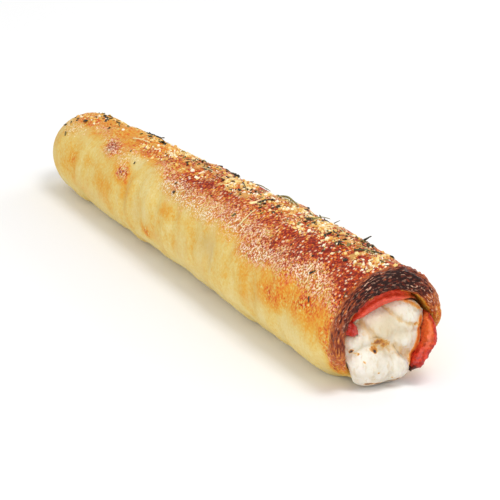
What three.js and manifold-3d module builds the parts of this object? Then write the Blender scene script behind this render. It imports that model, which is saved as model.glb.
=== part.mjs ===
// A baked pizza roll: a long dough tube, closed and rounded at one end and open at the other,
// lined with slices of pepperoni and filled with mozzarella that has melted out of the open mouth.
// Millimetres, +X from the closed end to the mouth, +Y to the mouth's right seen from in front
// of it with the roll lying down, +Z up. The roll lies on its flattened underside.
import * as THREE from "three";
import { mergeVertices } from "three/addons/utils/BufferGeometryUtils.js";
import Module from "manifold-3d";

// Driving sizes.
const LENGTH = 270; // closed end to the front of the mouth's rim
const RADIUS = 22.4; // outside radius of the dough at the mouth
const FAR_SHARE = 0.745; // radius at the closed end over radius at the mouth
const UNDERSIDE = 0.93; // depth of the lower half over its half width
const WALL = 4.9; // dough wall
const GAP = 0.3; // clear space between neighbouring pieces
const AROUND = 36; // facets round the roll
const ARC = 7; // facets across a slice

// Sizes that follow from them.
const BORE = RADIUS - WALL; // inside radius of the dough
const FILLING = BORE - 1.6 * GAP; // outside radius of what fills it
const CAP = 1.25 * RADIUS; // length of the rounded closed end
const LIP = 0.65 * WALL; // length of the rim's rounding
const FLAT = 0.045 * RADIUS; // how much of the underside is pressed flat
const CAVITY = 0.1 * LENGTH; // where the hollow starts
const FULL_WIDTH = 0.85 * LENGTH; // where the roll reaches its full width
const FLARE = LENGTH - 55; // where the rim starts to bend back below
const SLUMP = { from: LENGTH - 110, to: LENGTH - 10, side: 0.03 * RADIUS, down: 0.05 * RADIUS };

// Slices of pepperoni as they lie round the filling: angles from +Y towards +Z, in degrees.
const SLICES = [
  { name: "pepperoni_top", from: 68, to: 146, thick: [2, 3.7, 0.8], front: -2.4, wave: 0.9, colour: 0xb5301f },
  { name: "pepperoni_left", from: 149, to: 168, thick: [1.2, 3, 3.4], front: -3, wave: 0.4, colour: 0xa02a24 },
  { name: "pepperoni_right", from: -52, to: 18, thick: [3.4, 4.4, 2.4], front: 0.8, wave: 0.9, colour: 0xc8281b },
];

const wasm = await Module();
wasm.setup();

const smooth = (low, high, value) => THREE.MathUtils.smoothstep(value, low, high);
const radians = THREE.MathUtils.degToRad;

// Where the dough has risen or slumped outwards: a place along the roll as a share of its length,
// an angle, the reach each way, and the height as a share of the radius.
const BULGES = [
  { at: 0.92, angle: 225, long: 0.16, wide: 60, high: 0.07 },
  { at: 0.7, angle: 225, long: 0.14, wide: 65, high: 0.05 },
  { at: 0.96, angle: 75, long: 0.3, wide: 70, high: 0.065 },
];

// The slow swellings and pinches of hand-rolled dough: how many along the roll, how many round
// it, where they start, and the height as a share of the radius.
const WAVES = [
  { along: 5, round: 0, start: 0.6, high: 0.01 },
  { along: 9, round: 2, start: 0, high: 0.009 },
  { along: 16, round: -3, start: 1, high: 0.008 },
];

// The lobes of cheese that have slumped over the lower lip, down to what the roll lies on.
const LOBES = [
  { at: [LENGTH - 7.5, -2.5, 6.5], half: [6.5, 12.3, 6.5] },
  { at: [LENGTH - 8, -10.5, 14], half: [5.5, 5, 6.5] },
  { at: [LENGTH - 7.5, 1.5, 19], half: [6.5, 9.5, 8.5] },
];

// 1 at the angle `centre`, falling smoothly to 0 at `width` away from it, all in degrees.
function near(angle, centre, width) {
  const away = Math.abs(THREE.MathUtils.euclideanModulo(angle - centre + 180, 360) - 180);
  return 1 - smooth(0, width, away);
}

// How far the dough's skin stands out of a true round, as a share of the radius.
function unevenness(x, angle) {
  const waves = WAVES.reduce((sum, { along, round, start, high }) => {
    return sum + high * Math.sin((2 * Math.PI * along * x) / LENGTH + round * radians(angle) + start);
  }, 0);
  const bulges = BULGES.reduce((sum, { at, angle: centre, long, wide, high }) => {
    return sum + high * (1 - smooth(0, long, Math.abs(x / LENGTH - at))) * near(angle, centre, wide);
  }, 0);
  return waves * (1 - 0.7 * near(angle, 270, 60)) + bulges;
}

// How far the rim stands back at an angle: it overhangs like a hood and has shrunk back below.
function rimRecess(angle) {
  const below = 1 - smooth(35, 95, Math.abs(THREE.MathUtils.euclideanModulo(angle - 100, 360) - 180));
  return 9.5 * below + 1.8 * near(angle, 10, 50) + 0.8 * near(angle, 150, 50);
}

// Settles a point of a straight round tube into the tapered, flattened roll. What is inside has
// slumped at the mouth, and the dough is also uneven, bent back at the rim and pressed flat below.
function settle(point, isDough) {
  const angle = THREE.MathUtils.radToDeg(Math.atan2(point.z, point.y));
  const inside = smooth(0, WALL, RADIUS - Math.hypot(point.y, point.z));
  const slump = inside * smooth(SLUMP.from, SLUMP.to, point.x);
  const taper = THREE.MathUtils.lerp(FAR_SHARE, 1, smooth(0, FULL_WIDTH, point.x));
  const grow = taper * (isDough ? 1 + unevenness(point.x, angle) * (1 - inside) : 1);
  const drop = point.z < 0 ? UNDERSIDE : 1;
  const middle = RADIUS * UNDERSIDE * taper - FLAT;
  const x = point.x - (isDough ? rimRecess(angle) * smooth(FLARE, LENGTH, point.x) : 0);
  const y = point.y * grow + SLUMP.side * slump;
  const z = middle + point.z * drop * grow - SLUMP.down * slump;
  point.set(x, y, isDough && inside < 0.5 ? Math.max(z, 0) : z);
}

// Moves every vertex of a geometry by a function, and welds the copies that seams leave.
function moved(geometry, move) {
  const bare = geometry.clone();
  bare.deleteAttribute("normal");
  bare.deleteAttribute("uv");
  const place = bare.getAttribute("position");
  const point = new THREE.Vector3();
  for (let i = 0; i < place.count; i++) {
    point.fromBufferAttribute(place, i);
    move(point);
    place.setXYZ(i, point.x, point.y, point.z);
  }
  return mergeVertices(bare, 1e-3);
}

function solidOf(geometry) {
  const triVerts = new Uint32Array(geometry.index.array);
  const vertProperties = new Float32Array(geometry.getAttribute("position").array);
  return new wasm.Manifold(new wasm.Mesh({ numProp: 3, vertProperties, triVerts }));
}

function geometryOf(solid) {
  const mesh = solid.getMesh();
  const geometry = new THREE.BufferGeometry();
  geometry.setAttribute("position", new THREE.BufferAttribute(new Float32Array(mesh.vertProperties), 3));
  geometry.setIndex(new THREE.BufferAttribute(new Uint32Array(mesh.triVerts), 1));
  geometry.computeVertexNormals();
  return geometry;
}

// Points of part of an ellipse about a centre, between two angles, in (radius, along).
function bow(centre, half, from, to, steps) {
  return Array.from({ length: steps + 1 }, (_, i) => {
    const turn = radians(from + ((to - from) * i) / steps);
    return new THREE.Vector2(centre[0] + half[0] * Math.cos(turn), centre[1] + half[1] * Math.sin(turn));
  });
}

// Points between two ends of a straight stretch, the ends left out.
function run(start, end, steps) {
  return Array.from({ length: steps - 1 }, (_, i) => start.clone().lerp(end, (i + 1) / steps));
}

// A profile turned about the roll's long axis, which three.js turns about +Y.
function turned(profile, move) {
  const lathe = new THREE.LatheGeometry(profile, AROUND);
  lathe.rotateZ(-Math.PI / 2);
  return solidOf(moved(lathe, move));
}

// The dough tube. `grow` thickens it all over, for a cutter that leaves a gap round it.
function dough(grow) {
  const outer = RADIUS + grow;
  const inner = BORE - grow;
  const shoulder = LENGTH - LIP;
  const cap = bow([0, CAP], [outer, CAP + grow], -90, 0, 9);
  const rim = bow([(outer + inner) / 2, shoulder], [(outer - inner) / 2, LIP + grow], 0, 180, 8);
  const bottom = bow([0, CAVITY + BORE], [inner, inner], 0, -90, 5);
  cap[0].x = 0;
  bottom[bottom.length - 1].x = 0;
  const skin = run(cap[cap.length - 1], rim[0], 20);
  const bore = run(rim[rim.length - 1], bottom[0], 12);
  return turned([...cap, ...skin, ...rim, ...bore, ...bottom], (point) => settle(point, true));
}

// One slice: a bent strip between two angles, running through the roll under the dough. It is
// thickest in the middle, and its front edge is wavy.
function slice({ from, to, thick, front, wave }, grow) {
  const [first, most, last] = thick;
  const spare = THREE.MathUtils.radToDeg(grow / (FILLING - most));
  const arc = Array.from({ length: ARC + 1 }, (_, i) => i / ARC);
  const at = (radius, share) => {
    const turn = radians(THREE.MathUtils.lerp(from - spare, to + spare, share));
    return new THREE.Vector2(radius * Math.cos(turn), radius * Math.sin(turn));
  };
  const inner = (share) => {
    const swell = (most - (first + last) / 2) * Math.sin(Math.PI * share);
    return FILLING - THREE.MathUtils.lerp(first, last, share) - swell - grow;
  };
  const section = new THREE.Shape([
    ...arc.map((share) => at(FILLING + grow, share)),
    ...arc.map((share) => at(inner(1 - share), 1 - share)),
  ]);
  const begin = CAVITY + 0.8 * BORE;
  const depth = LENGTH + front + grow - begin;
  const strip = new THREE.ExtrudeGeometry(section, { depth, steps: 9, bevelEnabled: false });
  return solidOf(
    moved(strip, (point) => {
      const ragged = smooth(0.8 * depth, depth, point.z) * Math.sin(5 * Math.atan2(point.y, point.x));
      point.set(begin + point.z + wave * ragged, point.x, point.y);
      settle(point, false);
    }),
  );
}

// The melted cheese: a core through the whole roll with a torn front face, and its lobes.
function cheese() {
  const start = CAVITY + BORE - FILLING;
  const end = LENGTH - 6;
  const tail = bow([0, start + FILLING], [FILLING, FILLING], -90, 0, 5);
  const face = bow([0, end - 5], [FILLING, 9], 0, 90, 8);
  tail[0].x = 0;
  face[face.length - 1].x = 0;
  const core = turned([...tail, ...run(tail[tail.length - 1], face[0], 12), ...face], (point) => {
    const high = smooth(-0.7 * BORE, 0.3 * BORE, point.z);
    const torn = 0.5 * Math.sin(0.5 * point.y) + 0.4 * Math.cos(0.7 * point.z + 1);
    point.x += smooth(end - 20, end, point.x) * (3 - 4.4 * high + torn);
    settle(point, false);
  });
  return LOBES.reduce((whole, { at, half }) => {
    const lobe = moved(new THREE.SphereGeometry(1, 18, 12), (point) => {
      point.multiply(new THREE.Vector3(...half)).add(new THREE.Vector3(...at));
      point.z = Math.max(point.z, 0);
    });
    return whole.add(solidOf(lobe));
  }, core);
}

// The largest of the bodies that a cut may leave.
function largest(solid) {
  return solid.decompose().sort((a, b) => b.volume() - a.volume())[0];
}

function part(name, solid, colour, roughness) {
  const material = new THREE.MeshStandardMaterial({ color: colour, roughness, metalness: 0 });
  const mesh = new THREE.Mesh(geometryOf(solid), material);
  mesh.name = name;
  return mesh;
}

const clearance = dough(GAP);
const roll = new THREE.Group();
roll.add(part("crust", dough(0), 0xd99a4a, 0.65));
for (const each of SLICES) {
  roll.add(part(each.name, largest(slice(each, 0).subtract(clearance)), each.colour, 0.4));
}
const filling = SLICES.reduce(
  (left, each) => left.subtract(slice(each, GAP)),
  cheese().subtract(clearance),
);
roll.add(part("cheese", largest(filling), 0xf3ead2, 0.35));

// The origin is under the middle of the roll, on the surface that it lies on.
const box = new THREE.Box3().setFromObject(roll);
const middle = box.getCenter(new THREE.Vector3());
for (const mesh of roll.children) mesh.position.set(-middle.x, -middle.y, -box.min.z);

export default roll;
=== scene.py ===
"""A baked pizza roll: the looks of its dough, pepperoni, cheese and toppings.

Shapes are worked out in millimetres, with x along the roll from its closed end, y to the far
side and z up from what it lies on. They become metres when a mesh is made. Angles go round the
roll in degrees, from +y towards +z, so 90 is the top and 180 the side towards the camera.
"""
import itertools
import math

import bpy
import numpy as np
from mathutils import Matrix, Vector


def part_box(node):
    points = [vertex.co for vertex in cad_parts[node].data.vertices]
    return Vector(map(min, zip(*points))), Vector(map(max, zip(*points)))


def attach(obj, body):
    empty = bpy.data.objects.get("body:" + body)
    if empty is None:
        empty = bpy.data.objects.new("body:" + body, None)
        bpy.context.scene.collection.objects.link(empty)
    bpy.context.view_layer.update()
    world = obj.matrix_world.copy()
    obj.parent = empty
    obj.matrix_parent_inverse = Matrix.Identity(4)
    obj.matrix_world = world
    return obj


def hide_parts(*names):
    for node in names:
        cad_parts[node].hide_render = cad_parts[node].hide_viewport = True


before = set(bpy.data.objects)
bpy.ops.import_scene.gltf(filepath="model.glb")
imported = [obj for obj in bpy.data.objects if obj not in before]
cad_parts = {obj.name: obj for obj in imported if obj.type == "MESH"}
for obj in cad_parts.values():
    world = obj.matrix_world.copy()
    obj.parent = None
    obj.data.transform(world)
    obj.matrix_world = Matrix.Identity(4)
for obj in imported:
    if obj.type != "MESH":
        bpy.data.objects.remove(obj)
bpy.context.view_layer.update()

MM = 0.001  # metres in a millimetre

# The roll's sizes, in millimetres, and shares of them.
LENGTH = 270
RADIUS = 22.4
FAR_SHARE = 0.745  # how wide the closed end is, beside the mouth
UNDERSIDE = 0.93  # how far the lower half reaches, beside the upper
WALL = 4.9
BORE = RADIUS - WALL
FILLING = BORE - 0.48
CAP = 1.25 * RADIUS  # how long the closed end's rounding is
LIP = 0.65 * WALL
FLAT = 0.045 * RADIUS  # how much of the underside is pressed flat
CAVITY = 0.1 * LENGTH  # where the filling begins
FULL_WIDTH = 0.85 * LENGTH
FLARE = LENGTH - 55
FINE_FROM = LENGTH - 40  # rings are closer together from here on
THROAT = LENGTH - 25
SLUMP_FROM = LENGTH - 110
SLUMP_TO = LENGTH - 10
SLUMP_SIDE = 0.03 * RADIUS
SLUMP_DOWN = 0.05 * RADIUS

# Angles round the roll.
RIDGE = 92  # browned most
FOOT = 226  # low on the near side, where the dough lumps
LIFTED = 243  # where the dough's end lifts off what the roll lies on
SPILL = 256  # where the cheese slumps out over the lip
BELOW = 270
BESIDE_SLICE = 352  # where the dough is drawn in beside the thick slice

# Where the dough has risen or slumped: share of the length, angle, reach each way, height.
BULGES = [
    (0.92, 225, 0.16, 60, 0.07),
    (0.7, 225, 0.14, 65, 0.05),
    (0.96, 75, 0.3, 70, 0.065),
]
# Where the lip is set back, mostly below the mouth: angle, reach, reach of its full depth, how far.
RECESSES = [
    (280, 95, 35, 9.5),
    (10, 50, 0, 1.8),
    (150, 50, 0, 0.8),
]
# Swellings and pinches: how many along, how many round, start, height as a share of the width.
WAVES = [
    (5, 0, 0.6, 0.01),
    (9, 2, 0.0, 0.009),
    (16, -3, 1.0, 0.008),
]


def smooth(low, high, value):
    """0 below `low`, 1 above `high` and smooth between them."""
    share = np.clip((value - low) / (high - low), 0, 1)
    return share * share * (3 - 2 * share)


def away(angle, centre):
    """How many degrees apart two angles are."""
    return np.abs((angle - centre + 180) % 360 - 180)


def near(angle, centre, outer, inner=0):
    """1 up to `inner` degrees from an angle and 0 from `outer` degrees away."""
    return 1 - smooth(inner, outer, away(angle, centre))


def between(value, low, low_full, high_full, high):
    """1 from `low_full` to `high_full`, and 0 below `low` and above `high`."""
    return smooth(low, low_full, value) * (1 - smooth(high_full, high, value))


def hump(value, centre, width):
    """A bell of height 1."""
    return np.exp(-(((value - centre) / width) ** 2))


def dabs(table, x, angle):
    """The sum of soft round spots: x, angle, reach along and round, and height of each."""
    return sum(
        high * hump(x, at, long) * hump(away(angle, centre), 0, wide)
        for at, centre, long, wide, high in table
    )


def noise(points, size, seed):
    """Smooth random values from 0 to 1, with features about `size` across.

    Each pattern has a seed of its own, so that no two lie alike.
    """
    side = 24
    table = np.random.default_rng(seed).random((side, side, side))
    place = points / size + 0.37 * seed
    cell = np.floor(place).astype(int)
    share = place - cell
    share = share * share * (3 - 2 * share)
    total = np.zeros(points.shape[:-1])
    for corner in itertools.product((0, 1), repeat=3):
        weight = np.prod(np.where(corner, share, 1 - share), axis=-1)
        x, y, z = np.moveaxis((cell + corner) % side, -1, 0)
        total += weight * table[x, y, z]
    return total


def wobble(points, size, seed):
    """Noise that is as often below nothing as above it."""
    return noise(points, size, seed) - 0.5


def unevenness(x, angle):
    """How much wider the dough is at a place, as a share of its width."""
    turn = np.radians(angle)
    waves = sum(
        high * np.sin(2 * np.pi * along * x / LENGTH + ways * turn + start)
        for along, ways, start, high in WAVES
    )
    bulges = sum(
        high * (1 - smooth(0, long, np.abs(x / LENGTH - at))) * near(angle, centre, wide)
        for at, centre, long, wide, high in BULGES
    )
    return waves * (1 - 0.7 * near(angle, BELOW, 60)) + bulges


def rim_recess(angle):
    """How far the lip is set back."""
    return sum(far * near(angle, centre, wide, full) for centre, wide, full, far in RECESSES)


def taper_at(x):
    """How wide the roll is, as a share of its full width."""
    return FAR_SHARE + (1 - FAR_SHARE) * smooth(0, FULL_WIDTH, x)


def axis_height(x):
    """How high the roll's axis lies."""
    return RADIUS * UNDERSIDE * taper_at(x) - FLAT


def settle(x, y, z, is_dough):
    """Turns points of a straight round tube into points of the tapered, flattened roll."""
    angle = np.degrees(np.arctan2(z, y))
    inside = smooth(0, WALL, RADIUS - np.hypot(y, z))
    slump = inside * smooth(SLUMP_FROM, SLUMP_TO, x)
    taper = taper_at(x)
    grow = taper * (1 + unevenness(x, angle) * (1 - inside)) if is_dough else taper
    height = axis_height(x) + z * np.where(z < 0, UNDERSIDE, 1) * grow - SLUMP_DOWN * slump
    side = y * grow + SLUMP_SIDE * slump
    if not is_dough:
        return np.stack([x, side, height], -1)
    along = x - rim_recess(angle) * smooth(FLARE, LENGTH, x)
    height = np.where(inside < 0.5, np.maximum(height, 0), height)
    return np.stack([along, side, height], -1)


def bow(centre, half, start, end, steps):
    """Points on a part of an ellipse, from one angle to another."""
    turn = np.radians(np.linspace(start, end, steps + 1))
    return np.stack([centre[0] + half[0] * np.cos(turn), centre[1] + half[1] * np.sin(turn)], -1)


def run(start, end, steps):
    """Points between two others, without them."""
    return np.linspace(start, end, steps + 1)[1:-1]


def grid_normals(grid):
    """Outward normals of rings of points that go round the roll."""
    along = np.gradient(grid, axis=0)
    around = np.roll(grid, -1, 1) - np.roll(grid, 1, 1)
    normal = np.cross(around, along)
    return normal / np.maximum(np.linalg.norm(normal, axis=-1, keepdims=True), 1e-9)


def moved_to_frame(points):
    """Points in the frame, in metres, from millimetres."""
    return (points + SHIFT) * MM


def mesh_of_rings(name, grid, start, end, fields):
    """A closed mesh from rings of points with a point at each end. `fields` are its attributes."""
    rings, around = grid.shape[:2]
    points = np.concatenate([grid.reshape(-1, 3), [start, end]])
    i, j = np.meshgrid(np.arange(rings - 1), np.arange(around), indexing="ij")
    k = (j + 1) % around
    ring, after = i * around, (i + 1) * around
    quads = np.stack([ring + j, ring + k, after + k, after + j], -1)
    first, last = rings * around, rings * around + 1
    tail = (rings - 1) * around
    pairs = [(a, (a + 1) % around) for a in range(around)]
    fans = [[first, b, a] for a, b in pairs] + [[last, tail + a, tail + b] for a, b in pairs]
    mesh = bpy.data.meshes.new(name)
    mesh.from_pydata(moved_to_frame(points).tolist(), [], quads.reshape(-1, 4).tolist() + fans)
    for field_name, values in fields.items():
        ends = [values[0].mean(), values[-1].mean()]
        set_field(mesh, field_name, np.concatenate([values.ravel(), ends]))
    soften(mesh)
    mesh.update()
    return mesh


def object_of(name, mesh):
    """Puts a mesh, light or camera in the scene."""
    piece = bpy.data.objects.new(name, mesh)
    bpy.context.scene.collection.objects.link(piece)
    return piece


def soften(mesh):
    """Shades a mesh smooth."""
    mesh.polygons.foreach_set("use_smooth", np.ones(len(mesh.polygons), bool))


def points_of(mesh):
    """A mesh's points, in metres."""
    flat = np.empty(len(mesh.vertices) * 3)
    mesh.vertices.foreach_get("co", flat)
    return flat.reshape(-1, 3)


def values_of(mesh, name):
    """The values that a mesh holds under a name."""
    flat = np.empty(len(mesh.vertices), np.float32)
    mesh.attributes[name].data.foreach_get("value", flat)
    return flat.astype(float)


def set_points(mesh, points):
    """Moves a mesh's points."""
    mesh.vertices.foreach_set("co", points.astype(np.float32).ravel())
    mesh.update()


def set_field(mesh, name, values):
    """Has a mesh hold a value for each of its points, under a name."""
    attribute = mesh.attributes.get(name) or mesh.attributes.new(name, "FLOAT", "POINT")
    attribute.data.foreach_set("value", values.astype(np.float32))


# ---------------------------------------------------------------- nodes


class Value:
    """A node's output. Arithmetic on it adds Math nodes to its tree."""

    def __init__(self, tree, socket):
        self.tree = tree
        self.socket = socket

    def __add__(self, other):
        return calc("ADD", self, other)

    def __sub__(self, other):
        return calc("SUBTRACT", self, other)

    def __rsub__(self, other):
        return calc("SUBTRACT", other, self)

    def __mul__(self, other):
        return calc("MULTIPLY", self, other)


def fill(node, inputs):
    """Links or sets a node's inputs, which are named or numbered."""
    for key, value in inputs.items():
        if isinstance(value, Value):
            value.tree.links.new(value.socket, node.inputs[key])
        else:
            node.inputs[key].default_value = value


def add(tree, kind, inputs=None, **settings):
    """Adds a node, sets it up and gives it back."""
    node = tree.nodes.new(kind)
    for name, value in settings.items():
        setattr(node, name, value)
    fill(node, inputs or {})
    return node


def out(tree, kind, inputs=None, output=0, **settings):
    """Adds a node and gives one of its outputs."""
    return Value(tree, add(tree, kind, inputs, **settings).outputs[output])


def calc(operation, *values):
    """A Math node's result."""
    tree = next(value.tree for value in values if isinstance(value, Value))
    return out(tree, "ShaderNodeMath", dict(enumerate(values)), operation=operation)


def vector_calc(operation, vector, other):
    """A Vector Math node's result."""
    return out(vector.tree, "ShaderNodeVectorMath", {0: vector, 1: other}, operation=operation)


def scaled(vector, scale):
    """A vector made so many times as long."""
    inputs = {0: vector, "Scale": scale}
    return out(vector.tree, "ShaderNodeVectorMath", inputs, operation="SCALE")


def joined(x, y, z):
    """A vector of three values."""
    return out(x.tree, "ShaderNodeCombineXYZ", {0: x, 1: y, 2: z})


def ramp(value, low, high, to_low=0.0, to_high=1.0):
    """A value's smooth step between two limits, mapped on to two others."""
    inputs = {0: value, 1: low, 2: high, 3: to_low, 4: to_high}
    return out(value.tree, "ShaderNodeMapRange", inputs, interpolation_type="SMOOTHSTEP")


def centred(value, amount):
    """A noise value as so much more or less than nothing."""
    return (value - 0.5) * amount


def linear(hex_colour):
    """A colour written as on screen, such as "e8c878", as the shader's numbers."""
    parts = [int(hex_colour[i : i + 2], 16) / 255 for i in (0, 2, 4)]
    return (*[p / 12.92 if p <= 0.04045 else ((p + 0.055) / 1.055) ** 2.4 for p in parts], 1.0)


def mixed(share, first, second):
    """Two colours mixed by a share. Each is a node's output or is written as on screen."""
    first, second = (linear(c) if isinstance(c, str) else c for c in (first, second))
    inputs = {0: share, 6: first, 7: second}
    return out(share.tree, "ShaderNodeMix", inputs, 2, data_type="RGBA")


def colours(value, stops):
    """A run of colours, from (place, colour) pairs."""
    node = add(value.tree, "ShaderNodeValToRGB", {0: value})
    elements = node.color_ramp.elements
    while len(elements) < len(stops):
        elements.new(0.5)
    for element, (place, colour) in zip(elements, stops):
        element.position = place
        element.color = linear(colour)
    return Value(value.tree, node.outputs[0])


def grain(vector, size_mm, detail=2.0, stretch=None, rough=0.5):
    """Noise from 0 to 1 with features about `size_mm` across."""
    if stretch:
        vector = vector_calc("MULTIPLY", vector, stretch)
    inputs = {"Vector": vector, "Scale": 1 / (size_mm * MM), "Detail": detail, "Roughness": rough}
    return out(vector.tree, "ShaderNodeTexNoise", inputs)


def field(tree, name):
    """A number that the mesh holds for each of its points."""
    return out(tree, "ShaderNodeAttribute", output="Fac", attribute_name=name)


def strands(tree, size_mm, longer):
    """Noise drawn out into strands that run round the roll. `wrap` is in millimetres."""
    wrap_place = out(tree, "ShaderNodeAttribute", output="Vector", attribute_name="wrap")
    return grain(wrap_place, size_mm / MM, 2, stretch=(1.0, 1 / longer, 1 / longer))


def new_material(name):
    """A material, its tree and shader, and a place on the piece that wears it."""
    material = bpy.data.materials.new(name)
    material.use_nodes = True
    tree = material.node_tree
    shader = tree.nodes["Principled BSDF"]
    place = out(tree, "ShaderNodeTexCoord", output="Object")
    return material, tree, shader, place


def bump(shader, height, distance_mm):
    """Gives a shader fine relief."""
    inputs = {"Height": height, "Distance": distance_mm * MM}
    fill(shader, {"Normal": out(height.tree, "ShaderNodeBump", inputs)})


def new_tree(name, sizes, counts=()):
    """A tree that makes a mesh, its named inputs, and what a modifier calls them.

    Besides its sizes and counts, each tree is given a mesh and a material.
    """
    tree = bpy.data.node_groups.new(name, "GeometryNodeTree")
    tree.interface.new_socket("Geometry", in_out="OUTPUT", socket_type="NodeSocketGeometry")
    kinds = {"Geometry": "Geometry", **dict.fromkeys(sizes, "Float")}
    kinds.update({**dict.fromkeys(counts, "Int"), "Material": "Material"})
    known_as = {}
    for label, kind in kinds.items():
        socket = tree.interface.new_socket(label, in_out="INPUT", socket_type="NodeSocket" + kind)
        known_as[label] = socket.identifier
    outputs = add(tree, "NodeGroupInput").outputs
    given = {label: Value(tree, outputs[label]) for label in kinds}
    return tree, given, known_as


def close_tree(geometry, material):
    """Ends a tree with real meshes of one material."""
    tree = geometry.tree
    whole = out(tree, "GeometryNodeRealizeInstances", {0: geometry})
    dressed = out(tree, "GeometryNodeSetMaterial", {"Geometry": whole, "Material": material})
    add(tree, "NodeGroupOutput", {0: dressed})


def moved(geometry, **how):
    """A mesh with its points moved: to a Position, or by an Offset."""
    return out(geometry.tree, "GeometryNodeSetPosition", {"Geometry": geometry, **how})


def stored(geometry, name, value, domain="POINT"):
    """A mesh that holds a value under a name."""
    inputs = {"Geometry": geometry, "Name": name, "Value": value}
    kind = "GeometryNodeStoreNamedAttribute"
    return out(geometry.tree, kind, inputs, data_type="FLOAT", domain=domain)


def held(tree, name):
    """A value that the mesh holds under a name."""
    return out(tree, "GeometryNodeInputNamedAttribute", {"Name": name}, data_type="FLOAT")


def seeded_noise(vector, seed, scale, detail):
    """Noise from 0 to 1 that differs with a seed."""
    inputs = {"Vector": vector, "W": seed, "Scale": scale, "Detail": detail}
    return out(vector.tree, "ShaderNodeTexNoise", inputs, noise_dimensions="4D")


def bent(geometry, size_mm, curl_mm):
    """A mesh bent at random, over stretches of about `size_mm`."""
    here = out(geometry.tree, "GeometryNodeInputPosition")
    inputs = {"Vector": here, "Scale": 1 / (size_mm * MM), "Detail": 1.0}
    shift = out(geometry.tree, "ShaderNodeTexNoise", inputs, "Color")
    shift = vector_calc("SUBTRACT", shift, (0.5, 0.5, 0.5))
    return moved(geometry, Offset=scaled(shift, 2 * curl_mm * MM))


def grown(name, tree, known_as, values, start_mesh=None):
    """Runs a node tree on an object and keeps the result as a plain mesh."""
    maker = object_of(name + "_maker", start_mesh or bpy.data.meshes.new(name + "_seed"))
    modifier = maker.modifiers.new("nodes", "NODES")
    modifier.node_group = tree
    for key, value in values.items():
        modifier[known_as[key]] = value
    graph = bpy.context.evaluated_depsgraph_get()
    result = bpy.data.meshes.new_from_object(maker.evaluated_get(graph), depsgraph=graph)
    maker.modifiers.remove(modifier)
    bpy.data.objects.remove(maker)
    result.name = name
    return result


# ---------------------------------------------------------------- materials


def crust_material():
    """Dough that is pale where hardly baked, then golden, red-brown and burnt at its rim."""
    material, tree, shader, place = new_material("baked_crust")
    brown, char, melt, frost = (field(tree, name) for name in ("browning", "char", "melt", "frost"))
    blotch = grain(place, 10, 3)
    patch = grain(place, 2.6, 3)
    mottle = grain(place, 1.5, 2)
    fine = grain(place, 0.9, 2, rough=0.6)
    speck = grain(place, 0.75, 1)
    # How well done the skin is, with the blotches that show at each size.
    done = calc("MINIMUM", brown + centred(blotch, 0.42), 0.81)
    uneven = ramp(brown, 0.18, 0.55, 0.12, 0.8)
    for pattern, amount in ((patch, 1.0), (fine, 2.9), (mottle, 0.8)):
        done += centred(pattern, amount) * uneven
    done += centred(strands(tree, 3.2, 5), 0.15)
    skin = colours(
        done,
        [
            (0.0, "e2ce8c"),
            (0.13, "ddbe68"),
            (0.26, "dca236"),
            (0.38, "dc8a24"),
            (0.5, "d66a18"),
            (0.63, "c44410"),
            (0.77, "b5330e"),
            (0.9, "95200a"),
            (1.0, "701408"),
        ],
    )
    # Dough that is hardly baked is paler in places, and its dents are darkened with painted shade.
    raw = ramp(grain(place, 17, 1), 0.5, 0.66) * 0.3 * ramp(brown, 0.1, 0.3, 1.0, 0.0)
    skin = mixed(raw, skin, "dbc68a")
    skin = mixed(field(tree, "painted_dent_shade"), skin, "b98c44")
    # The blistered skin's pale grains, partly painted highlights of glossy blisters, with pits between
    # them, on a pinker ground.
    ground = colours(brown, [(0.2, "d69a50"), (0.6, "bc6c42"), (0.85, "7c3c48")])
    skin = mixed(frost * 0.32, skin, ground)
    pits = ramp(speck, 0.38, 0.48, 0.75, 0.0) * ramp(brown, 0.3, 0.6)
    skin = mixed(pits, skin, "6c1c08")
    # Each blister of the well baked skin gets a painted highlight on its top.
    cells = {"Vector": place, "Scale": 1 / (1.9 * MM)}
    blisters = out(tree, "ShaderNodeTexVoronoi", cells, "Distance")
    painted_highlight = ramp(blisters, 0.17, 0.37, 0.8, 0.0) * ramp(brown, 0.36, 0.55)
    skin = mixed(painted_highlight, skin, colours(fine, [(0.4, "f0b478"), (0.6, "ffe8cc")]))
    # Pale specks of the grains, partly painted highlights of glossy blisters.
    glint = ramp(speck, 0.52, 0.59) * frost
    pale = colours(done, [(0.2, "fdecc8"), (0.5, "fde4cc"), (0.85, "f9d6b6")])
    skin = mixed(glint, skin, pale)
    # A film of melted hard cheese.
    skin = mixed(ramp(fine + melt, 1.05, 1.5) * 0.6, skin, "efc468")
    # The burnt rim.
    strand = strands(tree, 0.48, 4.5)
    burnt = colours(
        char + centred(strand, 1.7) * (char + 0.25) + centred(patch, 0.4),
        [(0.05, "dc9038"), (0.3, "b5652e"), (0.5, "924222"), (0.72, "5a1e10"), (0.95, "290b04")],
    )
    edge = ramp(char + centred(strand, 0.5), 0.02, 0.56)
    skin = mixed(edge, skin, burnt)
    # Pale strokes on the rim: painted highlights of its glossy wrinkles.
    stroke = ramp(strands(tree, 0.4, 4.5), 0.58, 0.66)
    skin = mixed(stroke * field(tree, "sparkle") * 0.85, skin, "eeb99a")
    looks = {
        "Base Color": skin,
        "Roughness": 0.62 - char * 0.22 - frost * 0.16,
        "Specular IOR Level": 0.2,
        "Subsurface Weight": 0.06,
        "Subsurface Radius": (0.003, 0.0015, 0.0008),
    }
    fill(shader, looks)
    relief = (fine + speck * 0.6) * (frost * 0.9 + 0.22) + patch * 0.35 + strand * char * 1.6
    bump(shader, relief, 0.6)
    return material


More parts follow.
